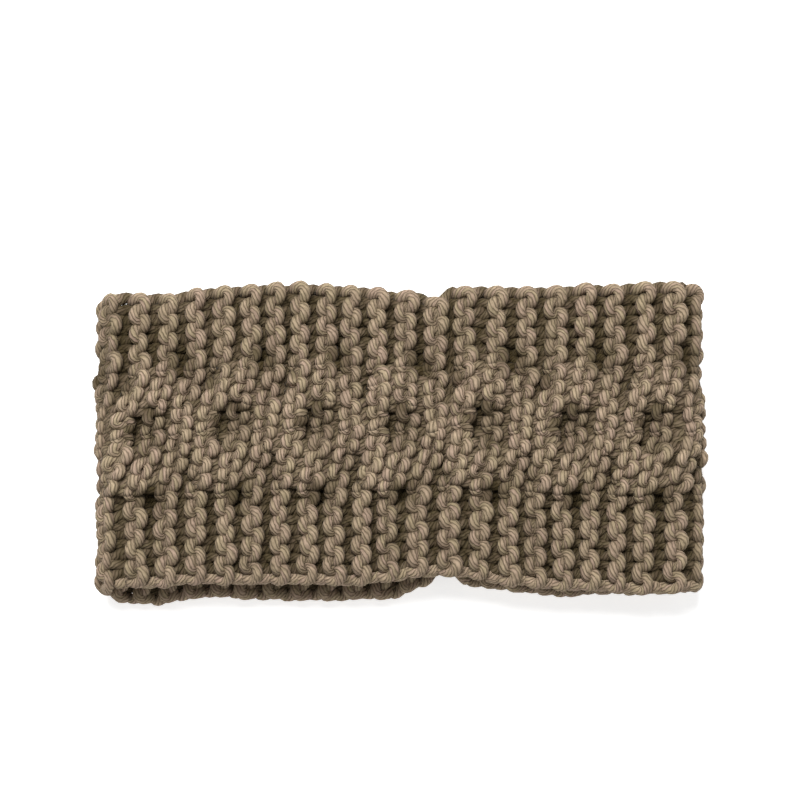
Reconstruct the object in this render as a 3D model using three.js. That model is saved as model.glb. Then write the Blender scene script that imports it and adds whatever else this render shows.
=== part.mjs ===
import * as THREE from "three";

// A knitted ear warmer headband, lying folded flat on its back layer.
// It is knitted sideways as one strip: a garter-stitch border above and below a cable
// of four strands, twisted in two pairs. The strip's two ends are sewn together at the
// back. Borders and strands are solids of their own, divided where one meets the next.
// Frame: X along the folded band, Y across it, +Z up, z = 0 where it rests.

// Driving dimensions, in millimetres.
const FOLDED_LENGTH = 239; // from fold to fold
const UPPER_BORDER = 31; // width of the knitting above the cable
const CABLE_WIDTH = 47; // the four strands together
const LOWER_BORDER = 38; // width of the knitting below the cable
const WALL = 9; // garter fabric, from crest to crest
const LAYER_GAP = 7.8; // between the two layers at the borders
const LAYER_DROOP = 1; // how far the front layer's edges hang below its middle
const RIDGE_DEPTH = 2.2; // of a garter valley below its ridge
const EDGE_SCALLOP = 0.9; // each ridge stands this far out at the edges
const EDGE_ROUND = 2.5; // width of each of the two steps that round an edge off
const PAIR_THICKNESS = 9.4; // two strands side by side
const CROSSING_THICKNESS = 12; // two strands, one lying on the other
const CROSSING_WAIST = 1.6; // a pair's half width shrinks by this at a crossing
const CABLE_LIFT = 0.8; // the cable stands out from the middle of the wall
const STRAND_RIB = 0.7; // depth of the garter valleys on a strand
const STRAND_GAP = 0.4; // between a strand and the piece beside it
const SEAM_X = 18.7; // place of the seam on the back layer
const SEAM_YARN = 4.2; // diameter of the sewing yarn
const SEAM_CLEARANCE = 0.3; // between the sewing yarn and each end of the strip

// Counts and shares.
const RIDGES = 43; // garter ridges along the whole strip
const RIDGES_PER_TURN = 3; // from one crossing to the next
const FIRST_CROSSING = 1.7; // ridges before the first crossing
const CROSSING_HURRY = 0.35; // a pair turns this much faster at a crossing
const GROOVE = 0.6; // depth of the face between two strands, as a share of a crown's
const SHOULDER = 0.75; // depth of a border's face beside its rounded edge
const CABLE_SIDE = 0.6; // depth of a border's face beside the cable
const LEAN_WITHIN = 0.5; // the rows' lean builds up within this share of half the band
const SEAM_STITCHES = 9;
const SEAM_SIDES = 6;
const SEAM_STEPS = 4; // per stitch

// The two edges and the lean of the rows, by place along the strip from the seam. Top
// and bottom are shares of half the band's width, and the leans are in ridges.
const STATIONS = [
  { at: 0.0, top: 0.94, bottom: -0.93, leanTop: 0.0, leanBottom: 0.0 },
  { at: 0.014, top: 0.93, bottom: -0.98, leanTop: 0.0, leanBottom: 0.0 },
  { at: 0.045, top: 0.92, bottom: -1.06, leanTop: 0.1, leanBottom: -0.1 },
  { at: 0.14, top: 0.88, bottom: -1.12, leanTop: 0.2, leanBottom: -0.2 },
  { at: 0.21, top: 0.87, bottom: -1.13, leanTop: 0.2, leanBottom: -0.3 },
  { at: 0.245, top: 0.86, bottom: -1.15, leanTop: 0.3, leanBottom: -0.4 },
  { at: 0.275, top: 0.91, bottom: -1.1, leanTop: 0.4, leanBottom: -0.5 },
  { at: 0.298, top: 0.955, bottom: -1.02, leanTop: 0.5, leanBottom: -0.6 },
  { at: 0.335, top: 0.97, bottom: -1.01, leanTop: 0.6, leanBottom: -0.6 },
  { at: 0.4, top: 1.022, bottom: -0.985, leanTop: 0.5, leanBottom: -0.45 },
  { at: 0.466, top: 1.036, bottom: -0.985, leanTop: 0.2, leanBottom: -0.48 },
  { at: 0.516, top: 1.01, bottom: -0.99, leanTop: -0.05, leanBottom: -0.6 },
  { at: 0.55, top: 0.98, bottom: -0.965, leanTop: -0.05, leanBottom: -0.68 },
  { at: 0.571, top: 0.938, bottom: -0.932, leanTop: 0.0, leanBottom: -0.65 },
  { at: 0.585, top: 0.985, bottom: -0.93, leanTop: 0.05, leanBottom: -0.55 },
  { at: 0.602, top: 1.015, bottom: -0.94, leanTop: 0.15, leanBottom: -0.45 },
  { at: 0.636, top: 1.008, bottom: -0.99, leanTop: 0.24, leanBottom: -0.4 },
  { at: 0.696, top: 1.03, bottom: -1.02, leanTop: 0.32, leanBottom: -0.53 },
  { at: 0.746, top: 1.048, bottom: -1.045, leanTop: 0.45, leanBottom: -0.65 },
  { at: 0.787, top: 1.04, bottom: -1.04, leanTop: 0.3, leanBottom: -0.55 },
  { at: 0.834, top: 0.96, bottom: -1.08, leanTop: 0.2, leanBottom: -0.2 },
  { at: 0.918, top: 0.94, bottom: -1.09, leanTop: 0.1, leanBottom: -0.1 },
  { at: 0.96, top: 1.01, bottom: -1.05, leanTop: 0.0, leanBottom: 0.0 },
  { at: 0.985, top: 1.0, bottom: -0.98, leanTop: 0.0, leanBottom: 0.0 },
  { at: 1.0, top: 0.94, bottom: -0.93, leanTop: 0.0, leanBottom: 0.0 },
];

// Places of the sections within one ridge. The first one lies in the valley.
const BORDER_PHASES = [0, 0.25, 0.75];
const STRAND_PHASES = [0, 1 / 3, 2 / 3];

// Half a pair's round outline, in degrees from the line that divides its two strands.
const STRAND_OUTLINE = [20, 65, 115, 160];

// Sizes worked out from the driving dimensions.
const bandWidth = UPPER_BORDER + CABLE_WIDTH + LOWER_BORDER;
const halfBand = bandWidth / 2;
const cableHalf = CABLE_WIDTH / 2;
const halfWall = WALL / 2;
const halfSheet = (WALL - RIDGE_DEPTH) / 2;
const foldRadius = (LAYER_GAP + WALL) / 2;
const halfStraight = FOLDED_LENGTH / 2 - foldRadius - halfWall;
const foldArc = Math.PI * foldRadius;
const loopLength = 4 * halfStraight + 2 * foldArc;
const seamChannel = SEAM_YARN + 2 * SEAM_CLEARANCE;
const stripLength = loopLength - seamChannel;
const ridgePitch = stripLength / RIDGES;
const turnLength = ridgePitch * RIDGES_PER_TURN;
const crossings = Math.floor((RIDGES - 1 - FIRST_CROSSING) / RIDGES_PER_TURN) + 1;

const ORIGIN = new THREE.Vector2(0, 0);
const clamp = THREE.MathUtils.clamp;
const lerp = THREE.MathUtils.lerp;
const smooth = THREE.MathUtils.smoothstep;

// The loop's middle line and outward normal, by length from the middle of the seam.
// It runs to the left along the back layer, over the left fold, to the right along
// the front layer and round the right fold.
function loopAt(length) {
  const firstStraight = SEAM_X + halfStraight;
  const foldHeight = halfWall + foldRadius;
  let run = length;
  if (run < firstStraight) {
    return { x: SEAM_X - run, z: halfWall, nx: 0, nz: -1 };
  }
  run -= firstStraight;
  if (run < foldArc) {
    return foldPoint(-1, Math.PI - run / foldRadius, foldHeight);
  }
  run -= foldArc;
  if (run < 2 * halfStraight) {
    return { x: run - halfStraight, z: foldHeight + foldRadius, nx: 0, nz: 1 };
  }
  run -= 2 * halfStraight;
  if (run < foldArc) {
    return foldPoint(1, run / foldRadius, foldHeight);
  }
  run -= foldArc;
  return { x: halfStraight - run, z: halfWall, nx: 0, nz: -1 };
}

// A point of the left (-1) or right (1) fold, by its angle from straight up.
function foldPoint(side, angle, foldHeight) {
  const nx = side * Math.sin(angle);
  const nz = Math.cos(angle);
  const x = side * halfStraight + nx * foldRadius;
  return { x, z: foldHeight + nz * foldRadius, nx, nz };
}

// One column of STATIONS at a length along the strip.
function station(along, column) {
  const at = clamp(along / stripLength, 0, 1);
  const next = Math.max(1, STATIONS.findIndex((row) => row.at >= at));
  const [a, b] = [STATIONS[next - 1], STATIONS[next]];
  return lerp(a[column], b[column], smooth(at, a.at, b.at));
}

// A point of the strip: along it, across it from the cable's centre line, and out from
// the middle of the wall. What would lie below the floor is pressed flat on it.
function stripPoint(along, across, out) {
  const lean = station(along, across > 0 ? "leanTop" : "leanBottom");
  const share = Math.abs(across) / halfBand;
  const leaning = lean * ridgePitch * smooth(share, 0, LEAN_WITHIN);
  const at = loopAt(clamp(along + leaning, 0, stripLength) + seamChannel / 2);
  const [low, high] = [station(along, "bottom"), station(along, "top")];
  const y = lerp(low, high, (across + cableHalf + LOWER_BORDER) / bandWidth) * halfBand;
  const sag = LAYER_DROOP * share * share * Math.max(0, at.nz);
  return [at.x + at.nx * out, y, Math.max(0, at.z + at.nz * out - sag)];
}

// Whether a section lies in the valley between two ridges.
function inValley(along) {
  const ridge = along / ridgePitch;
  return Math.abs(ridge - Math.round(ridge)) < 0.01;
}

// Lengths along the strip where a piece has its sections.
function sectionPlaces(phases) {
  const places = [];
  for (let i = 0; i < RIDGES; i++) {
    places.push(...phases.map((phase) => (i + phase) * ridgePitch));
  }
  places.push(stripLength);
  return places;
}

// A border's section: round at its edge and flat-sided along the cable. The wall is
// a corrugated sheet, so its inner face has a ridge behind each valley.
function borderRing(along, side, width) {
  const valley = inValley(along);
  const wave = ((valley ? -1 : 1) * RIDGE_DEPTH) / 2;
  const outer = halfSheet + wave;
  const inner = halfSheet - wave;
  const edge = cableHalf + width;
  const beside = cableHalf + STRAND_GAP / 2;
  const profile = [
    [edge + (valley ? -EDGE_SCALLOP : EDGE_SCALLOP), wave],
    [edge - EDGE_ROUND, outer * SHOULDER],
    [edge - 2 * EDGE_ROUND, outer],
    [beside + EDGE_ROUND, outer],
    [beside, outer * CABLE_SIDE],
    [beside, -inner * CABLE_SIDE],
    [beside + EDGE_ROUND, -inner],
    [edge - EDGE_ROUND, -inner * SHOULDER],
  ];
  return profile.map(([across, out]) => stripPoint(along, side * across, out));
}

// How many half turns a pair has made since its first crossing. The turning stops half
// way after the last crossing.
function turnsAt(along) {
  const place = along / turnLength - FIRST_CROSSING / RIDGES_PER_TURN;
  const held = clamp(place, -0.5, crossings - 0.5);
  return held + (CROSSING_HURRY * Math.sin(2 * Math.PI * held)) / (2 * Math.PI);
}

// One strand's section. A pair is an oval that a line through its middle divides into
// two strands. The line turns half way round from one crossing to the next, and the
// strand that comes from the cable's centre passes in front. half is 1 for the strand
// in front at the first crossing and -1 for the other, whose ring runs the other way
// so that the first faces of both match.
function strandRing(along, side, half) {
  const turns = turnsAt(along);
  const crossed = Math.cos(Math.PI * turns) ** 2;
  const rib = inValley(along) ? STRAND_RIB : 0;
  const halfWidth = (cableHalf - STRAND_GAP) / 2 - CROSSING_WAIST * crossed;
  const thickness = lerp(PAIR_THICKNESS, CROSSING_THICKNESS, crossed);
  const halfThickness = thickness / 2 - rib;
  const middle = STRAND_GAP / 2 + halfWidth;
  const line = -Math.PI * turns;
  const stretched = Math.hypot(
    halfWidth * Math.cos(line),
    halfThickness * Math.sin(line),
  );
  const apart = ((STRAND_GAP / 2) * stretched) / (halfWidth * halfThickness);
  const outline = STRAND_OUTLINE.map((degrees) => {
    const angle = THREE.MathUtils.degToRad(degrees);
    return [half * Math.cos(angle), Math.sin(angle)];
  });
  const ring = [[-half * GROOVE, apart], [half * GROOVE, apart], ...outline];
  return ring.map(([p, q]) => {
    const turned = new THREE.Vector2(half * p, half * q).rotateAround(ORIGIN, line);
    const across = middle + halfWidth * turned.x;
    return stripPoint(along, side * across, CABLE_LIFT + halfThickness * turned.y);
  });
}

// A closed solid through rings of points that all have the same count. Each face is
// split along its shorter diagonal, but for the face between a ring's first two
// points: it meets another strand's face, and the two are split alike.
function loft(rings) {
  const count = rings[0].length;
  const last = (rings.length - 1) * count;
  const points = rings.flat().map((point) => new THREE.Vector3(...point));
  const index = [];
  for (let i = 0; i < last; i += count) {
    for (let j = 0; j < count; j++) {
      const a = i + j;
      const b = i + ((j + 1) % count);
      const [c, d] = [a + count, b + count];
      const across = points[b].distanceTo(points[c]);
      if (j === 0 || across < points[a].distanceTo(points[d])) {
        index.push(a, b, c, b, d, c);
      } else {
        index.push(a, b, d, a, d, c);
      }
    }
  }
  for (let j = 1; j + 1 < count; j++) {
    index.push(0, j + 1, j, last, last + j, last + j + 1);
  }
  if (volume(points, index) < 0) index.reverse();
  const geometry = new THREE.BufferGeometry().setFromPoints(points);
  geometry.setIndex(index);
  geometry.computeVertexNormals();
  return geometry;
}

// The volume inside a closed mesh, negative where its faces point inwards.
function volume(points, index) {
  let total = 0;
  for (let i = 0; i < index.length; i += 3) {
    const [a, b, c] = index.slice(i, i + 3).map((corner) => points[corner]);
    total += a.dot(b.clone().cross(c)) / 6;
  }
  return total;
}

// The sewing yarn runs up the seam between the two ends, from face to face.
function seamGeometry() {
  const radius = SEAM_YARN / 2;
  const swing = halfWall - radius - SEAM_CLEARANCE;
  const low = station(0, "bottom") * halfBand + radius;
  const high = station(0, "top") * halfBand - radius;
  const points = [];
  for (let i = 0; i <= 2 * SEAM_STITCHES; i++) {
    const y = lerp(low, high, i / (2 * SEAM_STITCHES));
    const z = halfWall + swing * (i % 2 ? 1 : -1);
    points.push(new THREE.Vector3(SEAM_X, y, z));
  }
  const round = new THREE.Shape();
  for (let i = 0; i < SEAM_SIDES; i++) {
    const angle = ((i + 0.5) / SEAM_SIDES) * 2 * Math.PI;
    const [x, y] = [radius * Math.cos(angle), radius * Math.sin(angle)];
    if (i === 0) round.moveTo(x, y);
    else round.lineTo(x, y);
  }
  return new THREE.ExtrudeGeometry(round, {
    steps: SEAM_STITCHES * SEAM_STEPS,
    bevelEnabled: false,
    extrudePath: new THREE.CatmullRomCurve3(points),
  });
}

const headband = new THREE.Group();

// Adds a piece in the band's soft greige yarn.
function addPiece(name, geometry) {
  const yarn = new THREE.MeshStandardMaterial({
    color: new THREE.Color(0xa8957f),
    roughness: 0.95,
    metalness: 0,
  });
  const piece = new THREE.Mesh(geometry, yarn);
  piece.name = name;
  headband.add(piece);
}

const borderPlaces = sectionPlaces(BORDER_PHASES);
const strandPlaces = sectionPlaces(STRAND_PHASES);
for (const { name, side, width } of [
  { name: "upper", side: 1, width: UPPER_BORDER },
  { name: "lower", side: -1, width: LOWER_BORDER },
]) {
  addPiece(`${name}_border`, loft(borderPlaces.map((at) => borderRing(at, side, width))));
  addPiece(`${name}_strand_a`, loft(strandPlaces.map((at) => strandRing(at, side, 1))));
  addPiece(`${name}_strand_b`, loft(strandPlaces.map((at) => strandRing(at, side, -1))));
}
addPiece("seam_yarn", seamGeometry());

// The origin is on the floor, under the middle of the whole band.
const middle = new THREE.Box3().setFromObject(headband).getCenter(new THREE.Vector3());
headband.position.set(-middle.x, -middle.y, 0);

export default headband;
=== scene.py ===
# %% [markdown]
# A knitted ear warmer, stitch by stitch
#
# The real thing is one long yarn. It is worked back and forth across the band in garter
# stitch, with four strands of two stitches that cross each other to make a cable, and
# the two ends of the strip are sewn together. A bump map on a smooth band would show
# none of the deep holes and rounded bumps of such thick yarn. So the yarn itself is
# modelled here: its path is written as a formula, and a round tube is drawn along it.
# A simulation could push yarn out of yarn where the tubes meet, but it pulls the even
# stitches of so tight a fabric out of their rows, and the places where they meet lie
# hidden under the next stitch anyway.

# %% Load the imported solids
import math

import bpy
import numpy as np
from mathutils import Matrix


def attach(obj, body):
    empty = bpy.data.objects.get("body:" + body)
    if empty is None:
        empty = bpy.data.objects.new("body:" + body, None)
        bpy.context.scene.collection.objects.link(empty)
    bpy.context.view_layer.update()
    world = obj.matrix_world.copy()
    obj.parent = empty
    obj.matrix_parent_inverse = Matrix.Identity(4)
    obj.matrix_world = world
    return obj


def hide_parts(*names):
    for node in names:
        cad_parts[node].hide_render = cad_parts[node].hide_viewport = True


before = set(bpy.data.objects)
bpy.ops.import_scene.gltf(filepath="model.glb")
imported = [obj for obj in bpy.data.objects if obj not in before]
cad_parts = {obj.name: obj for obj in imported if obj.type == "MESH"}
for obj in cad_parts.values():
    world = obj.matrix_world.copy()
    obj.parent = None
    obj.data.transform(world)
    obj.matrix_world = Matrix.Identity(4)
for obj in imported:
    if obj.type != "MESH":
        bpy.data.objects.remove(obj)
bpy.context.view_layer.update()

MM = 0.001  # one millimetre in Blender's metres
print("nodes:", sorted(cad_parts))

# %% [markdown]
# Camera
#
# The photograph looks straight down at the band from a distance, so a long lens high
# above the floor gives its small perspective. The lens could also be orthographic, but
# then the back layer would not shrink a little behind the front one, as it does there.

# %% Place the camera
LENS = 85.0
SENSOR = 36.0
VIEW_WIDTH = 0.3085  # metres seen across the image at the front layer
FRONT_HEIGHT = 0.024  # of the front layer's outer face
VIEW_X = 0.0004
VIEW_Y = 0.0176

camera_data = bpy.data.cameras.new("camera")
camera_data.lens = LENS
camera_data.sensor_width = SENSOR
camera = bpy.data.objects.new("camera", camera_data)
camera.location = (VIEW_X, VIEW_Y, FRONT_HEIGHT + VIEW_WIDTH * LENS / SENSOR)
bpy.context.scene.collection.objects.link(camera)
bpy.context.scene.camera = camera
print("camera height", round(camera.location.z, 3))

# %% [markdown]
# Measures of the knitting
#
# These are the sizes that a knitter would note down, in millimetres: the band's widths,
# the number of rows and stitches, and how thick the yarn lies. They could be read off
# the solids' box, but a knitter's numbers are easier to compare with a real band. The
# sizes of the band and its folds are the ones that the solids were made with.

# %% Set the band's sizes
FOLDED_LENGTH = 239.0
UPPER_BORDER = 31.0
CABLE_WIDTH = 47.0
LOWER_BORDER = 38.0
WALL = 9.0  # from the ridges of one face to those of the other
LAYER_GAP = 7.8  # between the two layers of the folded band
LAYER_DROOP = 1.0  # the front layer's edges sag by this
SEAM_X = 18.7  # place of the seam on the back layer
SEAM_CHANNEL = 4.8  # room for it between the strip's two ends
BAND = UPPER_BORDER + CABLE_WIDTH + LOWER_BORDER
HALF_BAND = BAND / 2
HALF_CABLE = CABLE_WIDTH / 2
FOLD_RADIUS = (LAYER_GAP + WALL) / 2
FOLD_HEIGHT = WALL / 2 + FOLD_RADIUS
FOLD_ARC = math.pi * FOLD_RADIUS
HALF_STRAIGHT = FOLDED_LENGTH / 2 - FOLD_RADIUS - WALL / 2
LOOP = 4 * HALF_STRAIGHT + 2 * FOLD_ARC
STRIP = LOOP - SEAM_CHANNEL
print("strip of knitting:", round(STRIP, 1), "by", BAND, "mm")

# %% Count the stitches
ROWS = 86
LOWER_WALES = 5
UPPER_WALES = 4
PAIR_WALES = 4  # of the cable, above its middle and below it
BORDER_PITCH = 7.4  # from one border wale to the next
END_MARGIN = 5.2  # from each end of the strip to the middle of its last row
ROW_PITCH = (STRIP - 2 * END_MARGIN) / (ROWS - 1)
RIDGE_PITCH = 2 * ROW_PITCH
print("row pitch", round(ROW_PITCH, 3), "mm")

# %% Set the yarn and the shape of a stitch
YARN_RADIUS = 2.15
CABLE_YARN_RADIUS = 2.05  # the cable's stitches pull it thin
LOOP_HEIGHT = 5.0  # half a border stitch's length along the strip
CABLE_LOOP_HEIGHT = 5.5
LOOP_SWING = 1.6  # its head lies this far out, and its foot as far in
CABLE_LOOP_SWING = 1.9
LOOP_WEAVE = 1.6  # and it goes over and under its neighbours by this
CABLE_LOOP_WEAVE = 1.3
LOOP_BELLY = 0.22  # a loop's head widens by this share of a stitch
LOOP_SKEW = 0.04  # and it slips sideways by this share
RIDGE_RISE = 2.0  # a ridge rises by this and a valley sinks by it
CABLE_RIDGE_RISE = 0.4
POINTS = 24  # along the yarn, for each stitch
print("yarn", 2 * YARN_RADIUS, "mm thick")

# %% [markdown]
# The lie of the band
#
# Nothing in a soft band is straight. The two edges wander, the seam puckers them, and
# the ridges lean one way above the cable and the other way below it. A table gives
# both edges, as shares of half the band's width, and the leans, in ridges. The places
# are shares of the strip's length, from the seam and back to it. It is the solids' own
# table, with a few places set closer to the photograph. The band could be bent by hand
# with a lattice instead, but a table is easier to set right afterwards.

# %% Describe edges and leans
COLUMNS = ("at", "top", "bottom", "lean_top", "lean_bottom")
STATIONS = np.array([
    (0.0, 0.94, -0.93, 0.0, 0.0),
    (0.014, 0.93, -1.03, 0.0, 0.0),
    (0.045, 0.92, -1.11, 0.1, -0.1),
    (0.14, 0.88, -1.12, 0.2, -0.2),
    (0.21, 0.87, -1.1, 0.2, -0.3),
    (0.245, 0.86, -1.15, 0.3, -0.4),
    (0.275, 0.95, -1.14, 0.4, -0.5),
    (0.298, 0.97, -1.06, 0.5, -0.6),
    (0.335, 0.97, -1.01, 0.6, -0.6),
    (0.4, 1.022, -0.985, 0.5, -0.45),
    (0.466, 1.036, -0.985, 0.2, -0.48),
    (0.516, 1.01, -0.99, -0.05, -0.6),
    (0.55, 0.98, -0.965, -0.05, -0.68),
    (0.571, 0.938, -0.932, 0.0, -0.65),
    (0.585, 1.01, -0.93, 0.05, -0.55),
    (0.602, 1.015, -0.94, 0.15, -0.45),
    (0.636, 1.008, -0.99, 0.24, -0.4),
    (0.696, 1.03, -1.02, 0.32, -0.53),
    (0.746, 1.048, -1.045, 0.45, -0.65),
    (0.787, 1.04, -1.04, 0.3, -0.55),
    (0.834, 0.96, -1.08, 0.2, -0.2),
    (0.918, 0.94, -1.09, 0.1, -0.1),
    (0.96, 1.01, -1.05, 0.0, 0.0),
    (0.985, 1.0, -1.03, 0.0, 0.0),
    (1.0, 0.94, -0.93, 0.0, 0.0),
])
print("table of", len(STATIONS), "places")


# %% Read the table
def smooth(x, low=0.0, high=1.0):
    """0 below low and 1 above high, with a soft step between them."""
    t = np.clip((x - low) / (high - low), 0, 1)
    return t * t * (3 - 2 * t)


def station(along, column):
    """The table's value of a column at a place along the strip."""
    at = np.clip(along / STRIP, 0, 1)
    places = STATIONS[:, 0]
    values = STATIONS[:, COLUMNS.index(column)]
    left = np.clip(np.searchsorted(places, at) - 1, 0, len(places) - 2)
    share = smooth((at - places[left]) / (places[left + 1] - places[left]))
    return values[left] + share * (values[left + 1] - values[left])


# The solids' origin is under the middle of their box, so the knitting moves with them.
ORIGIN_Y = -HALF_BAND * (STATIONS[:, 1].max() + STATIONS[:, 2].min()) / 2
print("origin moved by", round(ORIGIN_Y, 2), "mm")


# %% [markdown]
# Folding the flat strip
#
# All stitches are first placed on a flat strip: along it, across it from the cable's
# middle, and out of its face. Two functions then lay the strip round the loop: to the
# left under the band, over the left fold, back along the front and round the right one.
# A lattice or a curve modifier could bend it too, but a formula keeps every size exact.

# %% Find the loop's middle line
def loop_at(length):
    """Middle line and outward normal of the loop, by length from the seam."""
    run = np.mod(length, LOOP)
    left_fold = SEAM_X + HALF_STRAIGHT
    front = left_fold + FOLD_ARC
    right_fold = front + 2 * HALF_STRAIGHT
    back = right_fold + FOLD_ARC
    on_left = run < front + HALF_STRAIGHT
    turned = np.where(on_left, front - run, run - right_fold)
    angle = np.clip(turned / FOLD_RADIUS, 0, math.pi)
    side = np.where(on_left, -1.0, 1.0)
    normal_x = side * np.sin(angle)
    normal_z = np.cos(angle)
    hub = np.select(
        [run < left_fold, run < front, run < right_fold, run < back],
        [SEAM_X - run, -HALF_STRAIGHT, run - front - HALF_STRAIGHT, HALF_STRAIGHT],
        HALF_STRAIGHT - (run - back),
    )
    x = hub + normal_x * FOLD_RADIUS
    z = FOLD_HEIGHT + normal_z * FOLD_RADIUS
    return x, z, normal_x, normal_z


print("loop:", round(LOOP, 1), "mm round")

# %% Fold the strip
LEAN_WITHIN = 0.5  # ridges lean within this share of half the band's width
FOLD_SQUEEZE = 0.38  # the wall is pressed this much thinner at the folds


def fold(points):
    """Lay points of the flat strip (along, across, out) round the loop."""
    along, across, out = points.T
    share = np.abs(across) / HALF_BAND
    lean_top = station(along, "lean_top")
    lean_bottom = station(along, "lean_bottom")
    lean = np.where(across > 0, lean_top, lean_bottom)
    leaning = lean * RIDGE_PITCH * smooth(share, 0, LEAN_WITHIN)
    x, z, normal_x, normal_z = loop_at(along + leaning + SEAM_CHANNEL / 2)
    low = station(along, "bottom") * HALF_BAND
    high = station(along, "top") * HALF_BAND
    y = low + (high - low) * (across + HALF_CABLE + LOWER_BORDER) / BAND + ORIGIN_Y
    sag = LAYER_DROOP * share**2 * np.maximum(0, normal_z)
    out = out * (1 - FOLD_SQUEEZE * smooth(np.abs(normal_x)))
    outward = np.stack([normal_x, np.zeros_like(x), normal_z], axis=1)
    middle = np.stack([x, y, z - sag], axis=1)
    return middle + outward * out[:, None], outward


print("the strip starts at", fold(np.zeros((1, 3)))[0][0].round(1))

# %% [markdown]
# Columns of stitches
#
# A wale is a column of stitches along the strip. In the real cable the wales of two
# strands change places at each crossing, but so tight a fabric shows only its bumps,
# in even columns that run on over every crossing. What shows is the relief: the strand
# from the cable's middle climbs over its neighbour, and that one comes up again in the
# middle as a low eye. So the wales here stay in their order and only bend a little, and
# a moving line between the strands says how high each place is and whose yarn it is.

# %% Time the crossings
CROSSING_ROWS = 6
FIRST_CROSSING_ROW = 2.5

crossing_start = END_MARGIN + FIRST_CROSSING_ROW * ROW_PITCH
crossing_pitch = CROSSING_ROWS * ROW_PITCH
crossings = int((ROWS - 1 - FIRST_CROSSING_ROW) // CROSSING_ROWS) + 1


def turns_at(along):
    """How many times a pair has crossed, with the share of the way to the next one."""
    place = (along - crossing_start) / crossing_pitch
    return np.clip(place, -0.5, crossings - 0.5)


print("crossings:", crossings, "each", round(crossing_pitch, 1), "mm long")

# %% Say which strand lies where
CROSSING_EARLY = 0.4  # rows before the crossing at which an eye opens
CROSSING_LATE = 1.3  # rows after it at which the eye is fully open
EYE_HALF = 8.7  # half the width of an open eye
STRAND_STEP = 1.5  # half the width of the step from one strand down to the other


def strand_at(along, distance):
    """1 where strand a lies at a distance from the cable's middle, -1 where b does."""
    turns = turns_at(along)
    crossing = np.round(turns)
    rows = (turns - crossing) * CROSSING_ROWS
    opened = smooth(rows, -CROSSING_EARLY, CROSSING_LATE)
    opened = opened * (EYE_HALF + STRAND_STEP) - STRAND_STEP
    covered = smooth(rows, -CROSSING_LATE, CROSSING_EARLY)
    covered = covered * (HALF_CABLE + STRAND_STEP - EYE_HALF) + EYE_HALF
    outside_eye = smooth(distance, opened - STRAND_STEP, opened + STRAND_STEP)
    inside_border = 1 - smooth(distance, covered - STRAND_STEP, covered + STRAND_STEP)
    in_front = 2 * outside_eye * inside_border - 1
    return in_front * (1 - 2 * np.mod(crossing, 2))


print("an open eye:", 2 * EYE_HALF, "mm wide")

# %% Give the strands their heights
CABLE_LIFT = 0.8  # the cable stands out from the borders by this
STRAND_RISE = 2.4  # one strand rises by this and the other sinks
RISE_LAG = 0.12  # the strand in front stays up for this share of a crossing's length
RIM_REACH = [(-2.5, 0.0), (-1.5, 2.0), (0.0, 3.2), (0.0, -3.0)]  # along and outwards
HOLE_BEFORE = 0.5  # the crossing pulls a hole open this share before it
HOLE_SPREAD = 0.12


def strand_height(along, distance):
    rise = np.cos(np.pi * (turns_at(along) - RISE_LAG))
    return CABLE_LIFT + STRAND_RISE * rise * strand_at(along, distance)


def under_strand(along, distance):
    """How far a place lies below the strands within a few millimetres of it."""
    own = strand_height(along, distance)
    around = [strand_height(along + x, np.abs(distance + y)) for x, y in RIM_REACH]
    return np.max(around, axis=0) - own


def hole_at(along):
    """How near the hole beside a crossing is, from 0 to 1."""
    before = turns_at(along) + HOLE_BEFORE
    return np.exp(-((before - np.round(before)) / HOLE_SPREAD) ** 2)


print("from one strand up to the other:", 2 * STRAND_RISE, "mm")

# %% Describe a border's wale
HOLE_DEPTH = 3.4  # the wale beside the cable sinks by this at a hole


class BorderWale:
    shape = [LOOP_HEIGHT, LOOP_SWING, LOOP_WEAVE, RIDGE_RISE, YARN_RADIUS]

    def __init__(self, zone, across, beside_cable):
        self.zone, self.across, self.beside_cable = zone, across, beside_cable

    def place(self, along):
        sink = HOLE_DEPTH * hole_at(along) if self.beside_cable else np.zeros_like(along)
        return np.full_like(along, self.across), -sink


print("border wale:", BorderWale.shape)

# %% Describe a cable's wale
STRAND_FLOW = 1.4  # wales bend outwards round an eye by this


class CableWale:
    shape = [CABLE_LOOP_HEIGHT, CABLE_LOOP_SWING, CABLE_LOOP_WEAVE, CABLE_RIDGE_RISE,
             CABLE_YARN_RADIUS]

    def __init__(self, zone, side, distance):
        self.zone, self.side, self.distance = zone, side, distance

    def place(self, along):
        widest = math.sin(math.pi * self.distance / HALF_CABLE)
        bend = np.sin(2 * np.pi * turns_at(along)) * widest
        distance = self.distance + STRAND_FLOW * bend
        return self.side * distance, strand_height(along, distance)


print("cable wale:", CableWale.shape)


# %% Lay out the wales
def border_wales(zone, side, count):
    places = HALF_CABLE + BORDER_PITCH * (np.arange(count) + 0.5)
    return [BorderWale(zone, side * place, i == 0) for i, place in enumerate(places)]


def cable_wales(zone, side):
    places = HALF_CABLE * (np.arange(PAIR_WALES) + 0.5) / PAIR_WALES
    return [CableWale(zone, side, place) for place in places]


wales = (border_wales("lower_border", -1, LOWER_WALES)[::-1]
         + cable_wales("lower_strand_a", -1)[::-1]
         + cable_wales("upper_strand_a", 1)
         + border_wales("upper_border", 1, UPPER_WALES))
print("wales:", len(wales), "stitches:", ROWS * len(wales))


# %% [markdown]
# The path of the yarn
#
# Seen from the front, a loop's yarn comes from behind, over the last row's loop, under
# the next one and over again. Two waves of a cosine, one of them three times as fast,
# give this. A knit row and a purl row differ only in which side that is, and garter
# stitch alternates them, so the bumps of two rows join into one ridge on each face.
# The path could be drawn by hand for one stitch and copied, but then every stitch would
# be alike, and none would bend with its neighbours.

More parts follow.
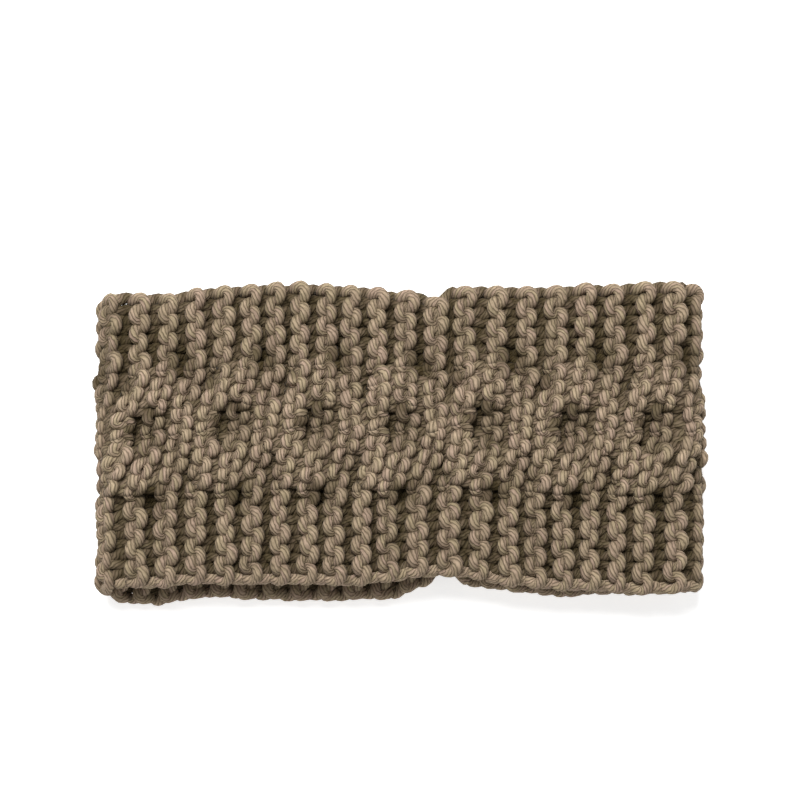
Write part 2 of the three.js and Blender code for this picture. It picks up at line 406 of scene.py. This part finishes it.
# %% Scatter the stitches a little
SEED = 86
ROW_WANDER = 0.25
STITCH_WANDER = np.array([0.42, 0.38, 0.38])  # along, across and out
SIZE_WANDER = 0.07  # share by which one stitch's yarn is thicker than another's
chance = np.random.default_rng(SEED)


def stitch_wander(visit):
    """Small steps of a row's yarn to all sides, new ones at every half stitch."""
    nodes = chance.normal(size=(2 * len(wales) + 1, 3)) * STITCH_WANDER
    node = np.floor(2 * visit).astype(int)
    part = smooth(2 * visit - node)[:, None]
    return nodes[node] + part * (nodes[node + 1] - nodes[node])


print("stitches wander by", STITCH_WANDER, "mm")

# %% Loosen the edges
EDGE_SHARE = 0.5  # the outer share of an edge stitch, which is loose
EDGE_THICKER = 0.3  # share by which its yarn is thicker
EDGE_SCALLOP = 0.8  # ridges reach out at the edges and valleys draw in by this
UPPER_EDGE_SINK = 2.6  # yarn along the edge sinks by this in the valleys
LOWER_EDGE_SINK = UPPER_EDGE_SINK / 3


def ridge_wave(along):
    """1 on the ridges of the outer face and -1 in its valleys."""
    return np.cos(2 * np.pi * (along - END_MARGIN - ROW_PITCH / 2) / RIDGE_PITCH)


def loosened(visit, along, sideways, level, radius):
    """A row's sideways places, heights and radii, changed at both edges."""
    at_edge = smooth(1 - np.minimum(visit, len(wales) - visit) / EDGE_SHARE)
    wave = ridge_wave(along)
    sideways = sideways + at_edge * EDGE_SCALLOP * wave * np.where(visit > 1, 1, -1)
    sink = np.where(visit > 1, UPPER_EDGE_SINK, LOWER_EDGE_SINK)
    level = level - at_edge * sink * (1 - wave) / 2
    radius = radius * (1 + EDGE_THICKER * at_edge)
    return sideways, level, radius


print("edge yarn:", round(2 * YARN_RADIUS * (1 + EDGE_THICKER), 1), "mm thick")

# %% Tell the zones apart
ZONES = ["lower_border", "lower_strand_a", "lower_strand_b", "upper_strand_a",
         "upper_strand_b", "upper_border"]


def zone_numbers(visit, along, sideways):
    """Each point's place in ZONES: its wale's own, or strand b's where that one lies."""
    own = np.array([ZONES.index(wale.zone) for wale in wales])
    zone = own[np.floor(visit).astype(int)]
    in_cable = (zone > 0) & (zone < len(ZONES) - 1)
    return zone + (in_cable & (strand_at(along, np.abs(sideways)) < 0))


print("zones:", ZONES)


# %% Write one row
def row_points(row):
    """One row's yarn on the flat strip, from the lower edge up: its places, its radii,
    the heights of the wales' planes, and its zones."""
    middle = END_MARGIN + row * ROW_PITCH + ROW_WANDER * chance.normal()
    count = len(wales)
    visit = (np.arange(count * POINTS) + 0.5) / POINTS
    left = np.clip(np.floor(visit - 0.5).astype(int), 0, count - 2)
    share = visit - 0.5 - left
    here = np.arange(len(visit))

    def between(values):
        return values[left] + smooth(share) * (values[left + 1] - values[left])

    shapes = np.array([wale.shape for wale in wales])
    tall, swing, weave, rise, radius = [between(column) for column in shapes.T]
    turn = 2 * np.pi * (visit - 0.5)
    along = middle + tall * np.cos(turn)
    places = [wale.place(along) for wale in wales]
    across = np.array([place[0] for place in places])
    out = np.array([place[1] for place in places])
    low = across[left, here]
    pitch = across[left + 1, here] - low
    sideways = low + share * pitch + LOOP_BELLY * pitch * np.sin(2 * turn)
    sideways = sideways + LOOP_SKEW * pitch * np.cos(turn)
    plane = out[left, here] + smooth(share) * (out[left + 1, here] - out[left, here])
    face = 1 if row % 2 == 0 else -1
    level = face * (swing * np.cos(turn) + weave * np.cos(3 * turn))
    level = level + plane + rise * ridge_wave(along)
    wander = stitch_wander(visit)
    radius = radius * (1 + SIZE_WANDER * wander[:, 0] / STITCH_WANDER[0])
    sideways, level, radius = loosened(visit, along, sideways, level, radius)
    points = np.stack([along, sideways, level], axis=1) + wander
    return points, radius, plane, zone_numbers(visit, along, sideways)


# %% Turn the yarn back at the edges
EDGE_POINTS = 9  # on the yarn's way round the edge
EDGE_REACH = 0.5  # how far the turning yarn stands out from the edge
EDGE_BLUNTNESS = 0.8  # below 1, its turn is blunter than a half wave


def edge_turn(end, start, side):
    """The yarn's way round the edge, from one row to the next."""
    share = (np.arange(EDGE_POINTS)[:, None] + 1) / (EDGE_POINTS + 1)
    turn = end + share * (start - end)
    turn[:, 1] += side * EDGE_REACH * np.sin(np.pi * share[:, 0]) ** EDGE_BLUNTNESS
    return turn


print("points for each turn:", EDGE_POINTS)

# %% Join the rows into one yarn
EDGE_TRIM = 5  # points left out at a row's end, where the yarn turns back


def whole_yarn():
    """All rows as one yarn: its places, radii, the wales' planes and its zones."""
    parts = []
    for row in range(ROWS):
        given = [part[EDGE_TRIM:-EDGE_TRIM] for part in row_points(row)]
        upward = row % 2 == 0
        if not upward:
            given = [part[::-1] for part in given]
        if row > 0:
            turn = edge_turn(parts[-1][0][-1], given[0][0], -1 if upward else 1)
            count = len(turn)
            parts.append([turn, np.full(count, YARN_RADIUS), np.zeros(count),
                          np.full(count, given[3][0])])
        parts.append(given)
    return [np.concatenate(column) for column in zip(*parts)]


def lengths_along(points):
    """The way along a path to each of its points."""
    steps = np.linalg.norm(np.diff(points, axis=0), axis=1)
    return np.concatenate([[0], np.cumsum(steps)])


yarn, yarn_radius, yarn_plane, yarn_zone = whole_yarn()
print("yarn points:", len(yarn), "length:", round(lengths_along(yarn)[-1] * MM, 1), "m")


# %% [markdown]
# Drawing the tube
#
# A tube needs a ring of points square to the path at each of its points. The ring must
# not spin, so each one is carried over from the last one by the smallest turn. Blender's
# own curve bevel would do this too, but then the yarn could not be cut at the zones and
# would have no measured length along it, which the twist of its strands needs.

# %% Carry a frame along the path
SIDES = 8


def tangents(path):
    step = np.gradient(path, axis=0)
    return step / np.linalg.norm(step, axis=1, keepdims=True)


def carried_normals(path):
    direction = tangents(path)
    normals = np.empty_like(path)
    normal = np.cross(direction[0], (0.0, 0.0, 1.0))
    for i, way in enumerate(direction):
        normal = normal - way * np.dot(normal, way)
        normal = normal / math.sqrt(np.dot(normal, normal))
        normals[i] = normal
    return direction, normals


def tube_rings(path, radius):
    """Rings of points round the whole path, an array of path point, side and place."""
    direction, normals = carried_normals(path)
    sideways = np.cross(direction, normals)
    angle = 2 * np.pi * np.arange(SIDES) / SIDES
    spokes = (np.cos(angle)[None, :, None] * normals[:, None, :]
              + np.sin(angle)[None, :, None] * sideways[:, None, :])
    return path[:, None, :] + np.reshape(radius, (-1, 1, 1)) * spokes


print("tube with", SIDES, "sides")

# %% Number the faces between the rings
AROUND = np.arange(SIDES)
AFTER = (AROUND + 1) % SIDES


def runs_of(chosen):
    """Start and end of each unbroken run of chosen points."""
    edges = np.flatnonzero(np.diff(np.concatenate([[0], chosen.astype(int), [0]])))
    return list(zip(edges[::2], edges[1::2]))


def tube_faces(start, count):
    """Faces between a run of rings, whose first point has the number start."""
    base = start + np.arange(count - 1)[:, None] * SIDES
    quads = np.stack([base + AROUND, base + SIDES + AROUND,
                      base + SIDES + AFTER, base + AFTER], axis=2)
    return quads.reshape(-1, 4)


def tube_uvs(lengths):
    """The yarn's length and roundness at each corner of those faces."""
    here = np.repeat(lengths[:-1, None], SIDES, axis=1)
    there = np.repeat(lengths[1:, None], SIDES, axis=1)
    low = np.tile(AROUND / SIDES, (len(lengths) - 1, 1))
    high = low + 1 / SIDES
    corners = [(here, low), (there, low), (there, high), (here, high)]
    corners = [np.stack(corner, axis=2) for corner in corners]
    return np.stack(corners, axis=2).reshape(-1, 2)


print("faces between two rings:", len(tube_faces(0, 2)))


# %% Build a mesh from runs of rings
def fill_mesh(mesh, places, quads, caps):
    """Give an empty mesh its points, its four-sided faces and its caps."""
    corners = np.concatenate([quads.ravel(), np.concatenate(caps)])
    starts = np.concatenate([np.arange(len(quads)) * 4,
                             quads.size + np.arange(len(caps)) * SIDES])
    mesh.vertices.add(len(places))
    mesh.vertices.foreach_set("co", places.ravel())
    mesh.loops.add(len(corners))
    mesh.loops.foreach_set("vertex_index", corners)
    mesh.polygons.add(len(starts))
    mesh.polygons.foreach_set("loop_start", starts)
    mesh.update(calc_edges=True)
    mesh.polygons.foreach_set("use_smooth", np.ones(len(starts), dtype=bool))


def tube_mesh(name, rings, lengths, runs, openness):
    """One mesh of capped tubes, with the yarn's length and roundness as its UV map."""
    places, light, quads, uvs, caps, start = [], [], [], [], [], 0
    for first, last in runs:
        last = min(last + 1, len(rings))
        count = last - first
        places.append(rings[first:last].reshape(-1, 3))
        light.append(openness[first:last].ravel())
        quads.append(tube_faces(start, count))
        uvs.append(tube_uvs(lengths[first:last]))
        caps.append(start + AROUND)
        caps.append(start + (count - 1) * SIDES + AROUND[::-1])
        start += count * SIDES
    mesh = bpy.data.meshes.new(name)
    fill_mesh(mesh, np.concatenate(places) * MM, np.concatenate(quads), caps)
    sides_uv = np.concatenate(uvs)
    uv = np.zeros((len(mesh.loops), 2))
    uv[:len(sides_uv)] = sides_uv
    mesh.uv_layers.new(name="yarn").data.foreach_set("uv", uv.ravel())
    attribute = mesh.attributes.new("openness", "FLOAT", "POINT")
    attribute.data.foreach_set("value", np.concatenate(light))
    mesh.validate()
    return mesh


# %% Put a mesh in the place of its solid
def add_piece(name, mesh, node, material):
    piece = bpy.data.objects.new(name, mesh)
    bpy.context.scene.collection.objects.link(piece)
    mesh.materials.append(material)
    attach(piece, "root")
    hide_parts(node)
    mesh.calc_loop_triangles()
    print(name, len(mesh.loop_triangles), "triangles")


# %% [markdown]
# Yarn up close
#
# The yarn is eight fine woollen strands laid side by side with a slow twist, in greige
# with a little rose and straw in it. The strands could be modelled, but they would need
# eight times the mesh. The UV map runs along and round the yarn in real lengths, so a
# short formula draws them as ridges and grooves instead.

# %% Set the wool's measures and colours
STRANDS = 8
LAY_LENGTH = 14.0  # of yarn, for one turn of its strands
STRAND_WANDER = 1.2  # how far strands drift to and fro, in widths of a strand
KNIT_RELIEF = 0.32  # height of a strand, in millimetres
SEWN_RELIEF = 0.3
STRAW = (0.515, 0.408, 0.265, 1)
ROSE = (0.525, 0.382, 0.288, 1)
HOLLOW = (0.027, 0.018, 0.002, 1)  # the colour of wool that gets no light
GROOVE_SHADE = 0.5  # shares by which it shows in grooves, between fibres and deep down
FIBRE_SHADE = 0.42
DEEP_SHADE = 0.92
print("fine strands:", STRANDS, "with one turn in", LAY_LENGTH, "mm")

# %% Helpers for shader groups
FLOAT, COLOR, VECTOR = "NodeSocketFloat", "NodeSocketColor", "NodeSocketVector"


def new_group(name, inputs, outputs):
    tree = bpy.data.node_groups.new(name, "ShaderNodeTree")
    for socket, kind, value in inputs:
        made = tree.interface.new_socket(name=socket, in_out="INPUT", socket_type=kind)
        made.default_value = value
    for socket, kind in outputs:
        tree.interface.new_socket(name=socket, in_out="OUTPUT", socket_type=kind)
    given = tree.nodes.new("NodeGroupInput").outputs
    result = tree.nodes.new("NodeGroupOutput").inputs
    return tree, given, result


def fill(tree, socket, value):
    """Link a socket to another one, or set it to a plain value."""
    if isinstance(value, bpy.types.NodeSocket):
        tree.links.new(value, socket)
    else:
        socket.default_value = value


print("socket kinds:", FLOAT, COLOR, VECTOR)


# %% Helpers for shader nodes
def calculate(tree, operation, *values):
    node = tree.nodes.new("ShaderNodeMath")
    node.operation = operation
    for socket, value in zip(node.inputs, values):
        fill(tree, socket, value)
    return node.outputs[0]


def scaled(tree, value, low, high):
    """0 where the value is low and 1 where it is high, with a soft step between."""
    node = tree.nodes.new("ShaderNodeMapRange")
    node.interpolation_type = "SMOOTHSTEP"
    for socket, given in zip(node.inputs, (value, low, high)):
        fill(tree, socket, given)
    return node.outputs[0]


def blend(tree, share, first, second):
    node = tree.nodes.new("ShaderNodeMix")
    node.data_type = "RGBA"
    fill(tree, node.inputs["Factor"], share)
    fill(tree, node.inputs["A"], first)
    fill(tree, node.inputs["B"], second)
    return node.outputs["Result"]


def combined(tree, x, y, z=0.0):
    node = tree.nodes.new("ShaderNodeCombineXYZ")
    for socket, value in zip(node.inputs, (x, y, z)):
        fill(tree, socket, value)
    return node.outputs[0]


def noise(tree, place, scale, detail):
    node = tree.nodes.new("ShaderNodeTexNoise")
    node.inputs["Scale"].default_value = scale
    node.inputs["Detail"].default_value = detail
    fill(tree, node.inputs["Vector"], place)
    return node.outputs[0]


# %% Twist the strands round the yarn
DRIFT_ALONG = 0.35  # how fast the strands' drift changes along the yarn
DRIFT_SCALE = 1.1  # and how fast overall

strands_group, given, result = new_group(
    "fine strands",
    [("Yarn Map", VECTOR, (0, 0, 0)), ("Strands", FLOAT, STRANDS),
     ("Lay Length", FLOAT, LAY_LENGTH), ("Wander", FLOAT, STRAND_WANDER)],
    [("Height", FLOAT), ("Groove", FLOAT), ("Tint", FLOAT), ("Fibre", FLOAT)],
)


def strand_math(operation, *values):
    return calculate(strands_group, operation, *values)


split = strands_group.nodes.new("ShaderNodeSeparateXYZ")
fill(strands_group, split.inputs[0], given["Yarn Map"])
length, roundness = split.outputs["X"], split.outputs["Y"]
angle = strand_math("MULTIPLY", roundness, 2 * math.pi)
yarn_place = combined(strands_group, strand_math("MULTIPLY", length, DRIFT_ALONG),
                      strand_math("COSINE", angle), strand_math("SINE", angle))
drift = strand_math("SUBTRACT", noise(strands_group, yarn_place, DRIFT_SCALE, 2.0), 0.5)
drift = strand_math("MULTIPLY", drift, given["Wander"])
twist = strand_math("DIVIDE", length, given["Lay Length"])
turned = strand_math("ADD", roundness, twist)
phase = strand_math("MULTIPLY_ADD", turned, given["Strands"], drift)
print("group:", strands_group.name)

# %% Round each strand off
GROOVE_FROM = 0.25  # shares of the way from a strand's middle to its side
GROOVE_FULL = 1.1

within = strand_math("FRACT", phase)
off_middle = strand_math("ABSOLUTE", strand_math("MULTIPLY_ADD", within, 2.0, -1.0))
squared = strand_math("MULTIPLY", off_middle, off_middle)
height = strand_math("SQRT", strand_math("SUBTRACT", 1.0, squared))
groove = scaled(strands_group, off_middle, GROOVE_FROM, GROOVE_FULL)
fill(strands_group, result["Height"], height)
fill(strands_group, result["Groove"], groove)
print("outputs:", list(result.keys())[:2])

# %% Tint the strands and part their fibres
TINT_STEP = 3.7  # sets the tints of neighbouring strands apart
TINT_ALONG = 0.09  # how fast a strand's tint changes along the yarn
TINT_RANGE = (0.3, 0.7)
FIBRE_ACROSS = 2.5  # fibres are finer across a strand than along it
FIBRE_ALONG = 0.7
FIBRE_RANGE = (0.25, 0.75)

number = strand_math("FLOORED_MODULO", strand_math("FLOOR", phase), given["Strands"])
tint_place = combined(strands_group, strand_math("MULTIPLY", number, TINT_STEP),
                      strand_math("MULTIPLY", length, TINT_ALONG))
tint = scaled(strands_group, noise(strands_group, tint_place, 1.0, 1.0), *TINT_RANGE)
fibre_place = combined(strands_group, strand_math("MULTIPLY", phase, FIBRE_ACROSS),
                       strand_math("MULTIPLY", length, FIBRE_ALONG))
fibre = scaled(strands_group, noise(strands_group, fibre_place, 1.0, 3.0), *FIBRE_RANGE)
fill(strands_group, result["Tint"], tint)
fill(strands_group, result["Fibre"], fibre)
print("outputs:", list(result.keys())[2:4])

# %% Colour the wool
wool_group, given, result = new_group(
    "heather wool",
    [("Tint", FLOAT, 0.5), ("Groove", FLOAT, 0.0), ("Fibre", FLOAT, 0.5),
     ("Openness", FLOAT, 1.0), ("Straw", COLOR, STRAW), ("Rose", COLOR, ROSE),
     ("Shade", COLOR, HOLLOW), ("Groove Shade", FLOAT, GROOVE_SHADE),
     ("Fibre Shade", FLOAT, FIBRE_SHADE), ("Deep Shade", FLOAT, DEEP_SHADE)],
    [("Color", COLOR)],
)
wool = blend(wool_group, given["Tint"], given["Straw"], given["Rose"])
grooved = calculate(wool_group, "MULTIPLY", given["Groove"], given["Groove Shade"])
wool = blend(wool_group, grooved, wool, given["Shade"])
between_fibres = calculate(wool_group, "MULTIPLY", given["Fibre"], given["Fibre Shade"])
wool = blend(wool_group, between_fibres, wool, given["Shade"])
depth = calculate(wool_group, "SUBTRACT", 1.0, given["Openness"])
sunk = calculate(wool_group, "MULTIPLY", depth, given["Deep Shade"])
wool = blend(wool_group, sunk, wool, given["Shade"])
fill(wool_group, result["Color"], wool)
print("group:", wool_group.name)


# %% Make the yarns' materials
def place_group(tree, group, values):
    node = tree.nodes.new("ShaderNodeGroup")
    node.node_tree = group
    for socket, value in values.items():
        fill(tree, node.inputs[socket], value)
    return node.outputs


def yarn_material(name, relief):
    material = bpy.data.materials.new(name)
    material.use_nodes = True
    tree = material.node_tree
    shader = tree.nodes["Principled BSDF"]
    yarn_map = tree.nodes.new("ShaderNodeUVMap")
    yarn_map.uv_map = "yarn"
    openness = tree.nodes.new("ShaderNodeAttribute")
    openness.attribute_name = "openness"
    fine = place_group(tree, strands_group, {
        "Yarn Map": yarn_map.outputs[0], "Strands": STRANDS, "Lay Length": LAY_LENGTH,
        "Wander": STRAND_WANDER})
    wool = place_group(tree, wool_group, {
        "Tint": fine["Tint"], "Groove": fine["Groove"], "Fibre": fine["Fibre"],
        "Openness": openness.outputs["Fac"], "Straw": STRAW, "Rose": ROSE,
        "Shade": HOLLOW, "Groove Shade": GROOVE_SHADE, "Fibre Shade": FIBRE_SHADE,
        "Deep Shade": DEEP_SHADE})
    bump = tree.nodes.new("ShaderNodeBump")
    bump.inputs["Strength"].default_value = 1.0
    bump.inputs["Distance"].default_value = relief * MM
    fill(tree, bump.inputs["Height"], fine["Height"])
    fill(tree, shader.inputs["Base Color"], wool["Color"])
    fill(tree, shader.inputs["Normal"], bump.outputs[0])
    shader.inputs["Roughness"].default_value = 0.85
    shader.inputs["Specular IOR Level"].default_value = 0.08
    shader.inputs["Sheen Weight"].default_value = 0.03
    shader.inputs["Sheen Roughness"].default_value = 0.4
    print("material:", name)
    return material


border_wool = yarn_material("border_wool", KNIT_RELIEF)
cable_wool = yarn_material("cable_wool", KNIT_RELIEF)
sewing_wool = yarn_material("sewing_wool", SEWN_RELIEF)

# %% [markdown]
# Light in the hollows
#
# Between real woollen stitches it is nearly black, because loose fibres stop what little
# light gets in. Bare tubes have none, and rendered light alone leaves their hollows too
# pale. The fibres could be modelled as hair, but there would be far too many of them. So
# each point of the yarn gets a value from 0, shut in, to 1, open to the light, and the
# material darkens what is shut in.

# %% Lay the yarn round the loop
LOWEST_YARN = 0.8 * YARN_RADIUS  # height at which the floor stops the yarn's middle

path, outward = fold(yarn)
path[:, 2] = np.maximum(path[:, 2], LOWEST_YARN)
rings = tube_rings(path, yarn_radius)
spokes = rings - path[:, None, :]
upper_half = yarn[:, 1] > 0
from_middle = np.abs(yarn[:, 1])
print("rings:", len(rings))

# %% Open the tops of the bumps
OPEN_FROM = -0.06  # openness grows from 0 to 1 between these shares of a bump's height
OPEN_OUT = 1.0
BORDER_FULL = 0.9  # ridges stand clear of each other, so they get their light sooner
CABLE_FULL = 1.06
PLANE_SHARE = 0.2  # a raised strand gets more light, and one behind gets less

level = (yarn[:, 2] - yarn_plane)[:, None] + np.sum(spokes * outward[:, None, :], axis=2)
level = np.abs(level) + PLANE_SHARE * np.sign(level) * yarn_plane[:, None]
border_crest = BORDER_FULL * (LOOP_SWING + LOOP_WEAVE + RIDGE_RISE + YARN_RADIUS)
cable_crest = CABLE_LOOP_SWING + CABLE_LOOP_WEAVE + CABLE_RIDGE_RISE + CABLE_YARN_RADIUS
cable_crest = CABLE_FULL * cable_crest
crest = np.where(from_middle > HALF_CABLE, border_crest, cable_crest)
openness = smooth(level / crest[:, None], OPEN_FROM, OPEN_OUT)
print("mean openness:", round(openness.mean(), 3))

# %% Open the edges
EDGE_DARK = HALF_BAND - 7.0  # light comes in from the side between these places
EDGE_LIGHT = HALF_BAND - 2.5
TOP_EDGE_OPEN = 0.6  # the upper edge gets less of it
TOP_EDGE_WAVE = 0.4  # but more again on its ridges than in its valleys

from_band_middle = np.abs(yarn[:, 1] + HALF_CABLE + LOWER_BORDER - HALF_BAND)
edge = smooth(from_band_middle, EDGE_DARK, EDGE_LIGHT)
top_edge = TOP_EDGE_OPEN + TOP_EDGE_WAVE * ridge_wave(yarn[:, 0])
edge = edge * np.where(upper_half, top_edge, 1)
openness = np.maximum(openness, edge[:, None])
print("mean openness:", round(openness.mean(), 3))

# %% Shut the holes, the rims and the eyes
HOLE_REACH = 6.0  # a hole beside the cable is dark this far across
RIM_FROM = 0.6  # the strand in front shades what lies this far below it
RIM_FULL = 3.6
RIM_DARK_ABOVE = 0.75  # the light comes from above the band, and so does the shade
RIM_DARK_BELOW = 0.4
EYE_DARK = 0.4  # a strand that lies behind gets less light all over

from_hole = np.abs(from_middle - HALF_CABLE - BORDER_PITCH / 4)
hole = hole_at(yarn[:, 0]) * smooth(HOLE_REACH - from_hole, 0, HOLE_REACH / 2)
rim = smooth(under_strand(yarn[:, 0], from_middle), RIM_FROM, RIM_FULL)
rim = rim * np.where(upper_half, RIM_DARK_ABOVE, RIM_DARK_BELOW)
rim = rim * (from_middle < HALF_CABLE)
eye = EYE_DARK * smooth(CABLE_LIFT - yarn_plane, 0, STRAND_RISE)
openness = openness * (1 - hole[:, None])
openness = openness * (1 - rim[:, None]) * (1 - eye[:, None])
print("mean openness:", round(openness.mean(), 3))

# %% [markdown]
# Cutting the yarn into its pieces
#
# The band lies on its back layer, whose raised strands are pressed up by the floor. They
# could be cut off flat, but then the bottoms of many loops would share one plane. So
# the lowest yarn is closed up softly. After that the yarn is cut wherever it passes from
# one zone to the next, and each zone's tubes become the mesh that replaces its solid.

# %% Press the underside against the floor
PRESS_HEIGHT = 1.0  # yarn that lies lower than this is pressed up
FLOOR_GAP = 0.02
PRESS_DEPTH = PRESS_HEIGHT - FLOOR_GAP

pressed = np.minimum(rings[:, :, 2] - PRESS_HEIGHT, 0) / PRESS_DEPTH
rings[:, :, 2] = np.where(pressed < 0, FLOOR_GAP + PRESS_DEPTH * np.exp(pressed),
                          rings[:, :, 2])
print("lowest point:", round(rings[:, :, 2].min(), 2), "mm")

# %% Cut the yarn at the zones
lengths = lengths_along(path)
for number, zone in enumerate(ZONES):
    runs = runs_of(yarn_zone == number)
    mesh = tube_mesh(f"knit_{zone}", rings, lengths, runs, openness)
    slot, wool = ("border_yarn", border_wool) if "border" in zone else ("cable_yarn", cable_wool)
    add_piece(f"knit_{zone}", mesh, zone, wool)

# %% [markdown]
# The seam
#
# The strip's two ends are sewn together edge to edge with the same yarn, which goes
# round both of them at each stitch and so makes a flat coil between them. It could be a
# curve with a bevel, but the functions above already draw a tube along any path.

# %% Sew the seam
SEAM_STITCHES = 14
SEAM_YARN_RADIUS = 1.5  # sewing pulls the yarn thinner than knitting does
SEAM_SWING = 3.6  # of the coil, to each side
SEAM_RISE = 2.9  # and out of each face
SEAM_MARGIN = 0.03  # share of the band's width left at each edge

seam_turn = np.linspace(0, 2 * np.pi * SEAM_STITCHES, SEAM_STITCHES * POINTS)
seam_share = np.linspace(SEAM_MARGIN, 1 - SEAM_MARGIN, len(seam_turn))
seam_low = station(np.array(0.0), "bottom") * HALF_BAND
seam_high = station(np.array(0.0), "top") * HALF_BAND
seam_path = np.stack([
    SEAM_X + SEAM_SWING * np.sin(seam_turn),
    ORIGIN_Y + seam_low + (seam_high - seam_low) * seam_share,
    WALL / 2 + SEAM_RISE * np.cos(seam_turn),
], axis=1)
seam_rings = tube_rings(seam_path, SEAM_YARN_RADIUS)
seam_open = smooth(np.abs(seam_rings[:, :, 2] - WALL / 2), OPEN_FROM, OPEN_OUT)
seam_mesh = tube_mesh("whip_stitch_seam", seam_rings, lengths_along(seam_path),
                      [(0, len(seam_path))], seam_open)
add_piece("whip_stitch_seam", seam_mesh, "seam_yarn", sewing_wool)

# %% [markdown]
# Floor and light
#
# The photo's ground is plain white with a very faint shadow, and its light is soft and
# comes from beyond the band's upper edge. A white world behind everything would swallow
# the shadow. So there is a floor that glows a little, which keeps it white far from the
# lamp and still lets the band's shadow show.

# %% Lay the floor
FLOOR_SIZE = 3.0  # metres
FLOOR_GLOW = 0.6

bpy.ops.mesh.primitive_plane_add(size=FLOOR_SIZE)
floor = bpy.context.object
floor.name = "floor"
floor_material = bpy.data.materials.new("floor")
floor_material.use_nodes = True
floor_shader = floor_material.node_tree.nodes["Principled BSDF"]
floor_shader.inputs["Base Color"].default_value = (0.9, 0.9, 0.9, 1)
floor_shader.inputs["Roughness"].default_value = 0.9
floor_shader.inputs["Emission Color"].default_value = (1, 1, 1, 1)
floor_shader.inputs["Emission Strength"].default_value = FLOOR_GLOW
floor.data.materials.append(floor_material)
print("floor:", FLOOR_SIZE, "m")

# %% Light the band
WORLD_LIGHT = 0.36
LAMP_SIZE = 0.6  # metres, for shadows with soft edges
LAMP_POWER = 20
LAMP_PLACE = (-0.15, 0.75, 1.1)
LAMP_TILT = (-34, -8, 0)  # degrees, so that it faces the band

world = bpy.data.worlds.new("studio")
world.use_nodes = True
world.node_tree.nodes["Background"].inputs["Color"].default_value = (1, 1, 1, 1)
world.node_tree.nodes["Background"].inputs["Strength"].default_value = WORLD_LIGHT
bpy.context.scene.world = world
key_data = bpy.data.lights.new("key", "AREA")
key_data.size = LAMP_SIZE
key_data.energy = LAMP_POWER
key = bpy.data.objects.new("key", key_data)
key.location = LAMP_PLACE
key.rotation_euler = [math.radians(angle) for angle in LAMP_TILT]
bpy.context.scene.collection.objects.link(key)
bpy.context.scene.view_settings.view_transform = "Standard"
print("lamp:", LAMP_POWER, "W")
